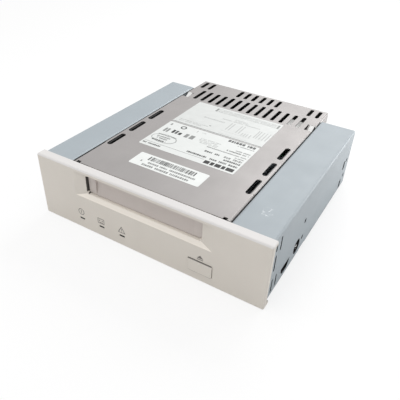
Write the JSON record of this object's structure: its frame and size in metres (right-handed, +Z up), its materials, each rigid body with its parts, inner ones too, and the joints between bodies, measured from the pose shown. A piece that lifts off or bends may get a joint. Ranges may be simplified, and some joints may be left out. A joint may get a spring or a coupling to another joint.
{
  "type": "data tape drive",
  "caption": "Half-height data cassette tape drive with a spring door, eject button, tape deck and side brackets for a wide bay.",
  "frame": {"origin": "under the middle of the footprint, on the bottom plane", "axes": "+X to the right seen from the front, +Y from the bezel to the rear, +Z up"},
  "size_m": [0.1484, 0.1562, 0.0417],
  "materials": {
    "bezel_plastic": "fine satin texture, warm grey",
    "door_plastic": "fine satin texture, warm grey",
    "window_plastic": "dark smoked, glossy",
    "lamp_plastic": "clear moulded",
    "cover_steel": "plain galvanised sheet, satin",
    "bracket_steel": "galvanised sheet, satin",
    "screw_steel": "zinc plated",
    "polished_steel": "ground and polished",
    "spring_steel": "bright wire",
    "cast_alloy": "as cast, satin",
    "turned_alloy": "fine turned",
    "board_laminate": "green solder mask",
    "chip_plastic": "black moulding",
    "can_sleeve": "bright can",
    "black_plastic": "black moulding",
    "white_nylon": "natural nylon",
    "tin_plate": "gold flash over nickel",
    "rubber": "soft black",
    "bush_brass": "sintered",
    "gear_plastic": "natural acetal",
    "switch_red": "red moulding",
    "ferrite": "dark ferrite and coil board"
  },
  "bodies": {
    "drive_body": {"front_bezel": "bezel_plastic", "light_pipes": "window_plastic", "indicator_leds": "lamp_plastic", "eject_switch": "black_plastic", "front_panel_board": "board_laminate", "top_cover": "cover_steel", "right_bracket": "bracket_steel", "left_bracket": "bracket_steel", "bracket_screws": "screw_steel", "lower_chassis": "cast_alloy", "bottom_cover": "cover_steel", "bottom_screws": "screw_steel", "main_board": "board_laminate", "small_screws": "screw_steel", "board_chips": "chip_plastic", "board_capacitors": "can_sleeve", "scsi_connector": "black_plastic", "connector_pins": "tin_plate", "power_connector": "white_nylon", "jumper_block": "black_plastic", "dip_switch": "switch_red", "mech_deck": "bracket_steel", "deck_dampers": "rubber", "steel_posts": "polished_steel", "bearing_bushes": "bush_brass", "reel_motor_stators": "ferrite", "capstan_stator": "ferrite", "drum_lower": "turned_alloy", "loading_motor": "can_sleeve", "amp_board": "board_laminate", "amp_plug": "white_nylon"},
    "door": {"cassette_door": "door_plastic", "door_spring": "spring_steel"},
    "eject_key": {"eject_button": "bezel_plastic", "switch_plunger": "black_plastic"},
    "supply_reel": {"supply_reel_table": "black_plastic"},
    "takeup_reel": {"takeup_reel_table": "black_plastic"},
    "drum_rotor": {"drum_upper": "turned_alloy", "drum_heads": "ferrite"},
    "capstan_rotor": {"capstan": "polished_steel"},
    "pinch_lever": {"pinch_arm": "bracket_steel"},
    "pinch_wheel": {"pinch_roller": "rubber"},
    "tension_lever": {"tension_arm": "bracket_steel"},
    "loading_wheel": {"loading_gear": "gear_plastic"},
    "loading_rotor": {"motor_pinion": "bush_brass"},
    "loading_slide": {"loading_plate": "bracket_steel"},
    "left_tape_guide": {"left_guide": "polished_steel"},
    "right_tape_guide": {"right_guide": "polished_steel"},
    "left_roller": {"left_guide_roller": "turned_alloy"},
    "right_roller": {"right_guide_roller": "turned_alloy"},
    "sled": {"carrier_sled": "bracket_steel"},
    "carrier": {"cassette_carrier": "cover_steel"},
    "option_1": {"dip_lever_1": "white_nylon"},
    "option_2": {"dip_lever_2": "white_nylon"},
    "option_3": {"dip_lever_3": "white_nylon"},
    "option_4": {"dip_lever_4": "white_nylon"},
    "option_5": {"dip_lever_5": "white_nylon"},
    "option_6": {"dip_lever_6": "white_nylon"},
    "option_7": {"dip_lever_7": "white_nylon"},
    "option_8": {"dip_lever_8": "white_nylon"}
  },
  "joints": [
    {"name": "door_hinge", "type": "hinge", "parent": "drive_body", "child": "door", "pos_m": [-0.0017, -0.0726, 0.0383], "axis": [1, 0, 0], "range_deg": [0, 82], "stiffness_Nm_per_rad": 0.002, "springref_deg": -22.92},
    {"name": "eject_press", "type": "slide", "parent": "drive_body", "child": "eject_key", "axis": [0, 1, 0], "range_m": [0, 0.001], "stiffness_N_per_m": 500, "springref_m": -0.0006},
    {"name": "supply_reel_spin", "type": "hinge", "parent": "drive_body", "child": "supply_reel", "pos_m": [-0.0167, -0.0241, 0.0152], "axis": [0, 0, 1], "continuous": true},
    {"name": "takeup_reel_spin", "type": "hinge", "parent": "drive_body", "child": "takeup_reel", "pos_m": [0.0133, -0.0241, 0.0152], "axis": [0, 0, 1], "continuous": true},
    {"name": "drum_spin", "type": "hinge", "parent": "drive_body", "child": "drum_rotor", "pos_m": [-0.0017, 0.0214, 0.0225], "axis": [0, -0.0872, 0.9962], "continuous": true},
    {"name": "capstan_spin", "type": "hinge", "parent": "drive_body", "child": "capstan_rotor", "pos_m": [0.0258, 0.0084, 0.015], "axis": [0, 0, 1], "continuous": true},
    {"name": "pinch_swing", "type": "hinge", "parent": "drive_body", "child": "pinch_lever", "pos_m": [0.0363, 0.0184, 0.0152], "axis": [0, 0, 1], "range_deg": [0, 11], "stiffness_Nm_per_rad": 0.003, "springref_deg": -17.19},
    {"name": "pinch_wheel_spin", "type": "hinge", "parent": "pinch_lever", "child": "pinch_wheel", "pos_m": [0.02678, 0.01398, 0.0174], "axis": [0, 0, 1], "continuous": true},
    {"name": "tension_swing", "type": "hinge", "parent": "drive_body", "child": "tension_lever", "pos_m": [-0.0347, 0.0124, 0.0152], "axis": [0, 0, -1], "range_deg": [0, 20], "stiffness_Nm_per_rad": 0.002, "springref_deg": -17.19},
    {"name": "loading_turn", "type": "hinge", "parent": "drive_body", "child": "loading_wheel", "pos_m": [-0.0397, 0.0284, 0.0153], "axis": [0, 0, 1], "range_deg": [0, 298.43]},
    {"name": "loading_rotor_turn", "type": "hinge", "parent": "drive_body", "child": "loading_rotor", "pos_m": [-0.03659, 0.03999, 0.0153], "axis": [0, 0, 1], "range_deg": [-895.3, 0]},
    {"name": "loading_slide_travel", "type": "slide", "parent": "drive_body", "child": "loading_slide", "axis": [0, 1, 0], "range_m": [0, 0.025]},
    {"name": "left_guide_travel", "type": "slide", "parent": "drive_body", "child": "left_tape_guide", "axis": [-0.2516, 0.9678, 0], "range_m": [0, 0.02583]},
    {"name": "right_guide_travel", "type": "slide", "parent": "drive_body", "child": "right_tape_guide", "axis": [0.2516, 0.9678, 0], "range_m": [0, 0.02583]},
    {"name": "left_roller_spin", "type": "hinge", "parent": "left_tape_guide", "child": "left_roller", "pos_m": [-0.0157, -0.0026, 0.0187], "axis": [0, 0, 1], "continuous": true},
    {"name": "right_roller_spin", "type": "hinge", "parent": "right_tape_guide", "child": "right_roller", "pos_m": [0.0123, -0.0026, 0.0187], "axis": [0, 0, 1], "continuous": true},
    {"name": "sled_travel", "type": "slide", "parent": "drive_body", "child": "sled", "axis": [0, 1, 0], "range_m": [0, 0.01]},
    {"name": "carrier_drop", "type": "slide", "parent": "sled", "child": "carrier", "axis": [0, 0, -1], "range_m": [0, 0.0095]},
    {"name": "option_1_slide", "type": "slide", "parent": "drive_body", "child": "option_1", "axis": [0, 1, 0], "range_m": [0, 0.0015]},
    {"name": "option_2_slide", "type": "slide", "parent": "drive_body", "child": "option_2", "axis": [0, 1, 0], "range_m": [0, 0.0015]},
    {"name": "option_3_slide", "type": "slide", "parent": "drive_body", "child": "option_3", "axis": [0, 1, 0], "range_m": [0, 0.0015]},
    {"name": "option_4_slide", "type": "slide", "parent": "drive_body", "child": "option_4", "axis": [0, 1, 0], "range_m": [0, 0.0015]},
    {"name": "option_5_slide", "type": "slide", "parent": "drive_body", "child": "option_5", "axis": [0, 1, 0], "range_m": [0, 0.0015]},
    {"name": "option_6_slide", "type": "slide", "parent": "drive_body", "child": "option_6", "axis": [0, 1, 0], "range_m": [0, 0.0015]},
    {"name": "option_7_slide", "type": "slide", "parent": "drive_body", "child": "option_7", "axis": [0, 1, 0], "range_m": [0, 0.0015]},
    {"name": "option_8_slide", "type": "slide", "parent": "drive_body", "child": "option_8", "axis": [0, 1, 0], "range_m": [0, 0.0015]}
  ],
  "couplings": [
    {"joint": "loading_turn", "follows": "loading_slide_travel", "rad_per_m": 208.33},
    {"joint": "loading_rotor_turn", "follows": "loading_slide_travel", "rad_per_m": -625},
    {"joint": "left_guide_travel", "follows": "loading_slide_travel", "ratio": 1.0332},
    {"joint": "right_guide_travel", "follows": "loading_slide_travel", "ratio": 1.0332}
  ]
}
